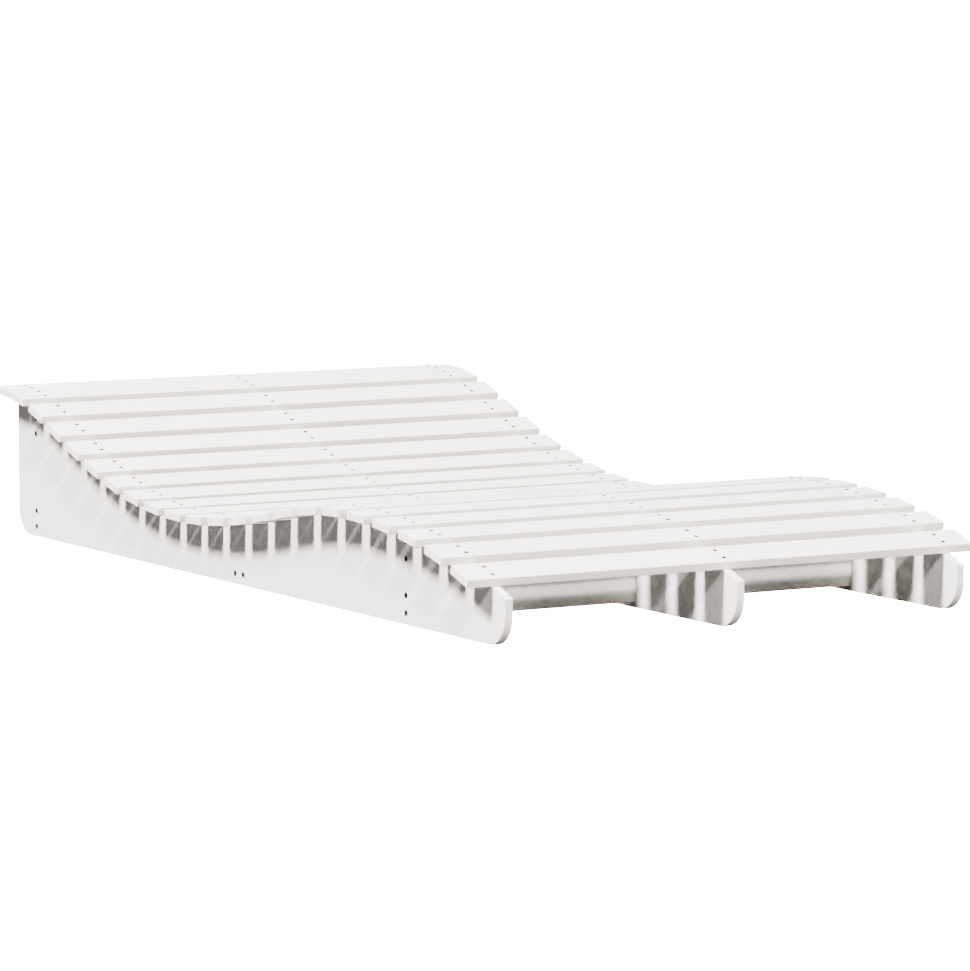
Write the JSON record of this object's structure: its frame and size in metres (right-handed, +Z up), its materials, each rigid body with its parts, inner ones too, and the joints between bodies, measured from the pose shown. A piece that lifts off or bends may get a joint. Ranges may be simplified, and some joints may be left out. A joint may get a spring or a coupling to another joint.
{
  "type": "sun lounger",
  "caption": "Wide, low sun lounger for two: cross slats screwed over three wave-shaped panels that are joined by short cross rails.",
  "frame": {"origin": "on the floor, under the middle of the lounger's bounding box", "axes": "+X across the lounger, +Y along it towards the head end, +Z up"},
  "size_m": [1.1, 2.05, 0.316],
  "materials": {
    "painted_slat": "white paint, satin",
    "painted_panel": "white paint, satin",
    "painted_rail": "white paint, satin",
    "bare_beech": "bare",
    "screw_steel": "zinc plated"
  },
  "bodies": {
    "root": {"foot_rail_lower_left": "painted_rail", "foot_rail_lower_right": "painted_rail", "foot_rail_upper_left": "painted_rail", "foot_rail_upper_right": "painted_rail", "head_rail_lower_left": "painted_rail", "head_rail_lower_right": "painted_rail", "head_rail_upper_left": "painted_rail", "head_rail_upper_right": "painted_rail", "middle_rail_left": "painted_rail", "middle_rail_right": "painted_rail", "panel_centre": "painted_panel", "panel_left": "painted_panel", "panel_right": "painted_panel", "rail_dowels_centre": "bare_beech", "rail_screws_left": "screw_steel", "rail_screws_right": "screw_steel", "slat_01": "painted_slat", "slat_02": "painted_slat", "slat_03": "painted_slat", "slat_04": "painted_slat", "slat_05": "painted_slat", "slat_06": "painted_slat", "slat_07": "painted_slat", "slat_08": "painted_slat", "slat_09": "painted_slat", "slat_10": "painted_slat", "slat_11": "painted_slat", "slat_12": "painted_slat", "slat_13": "painted_slat", "slat_14": "painted_slat", "slat_15": "painted_slat", "slat_16": "painted_slat", "slat_17": "painted_slat", "slat_18": "painted_slat", "slat_19": "painted_slat", "slat_20": "painted_slat", "slat_21": "painted_slat", "slat_22": "painted_slat", "slat_screws_centre": "screw_steel", "slat_screws_left": "screw_steel", "slat_screws_right": "screw_steel"}
  },
  "joints": []
}
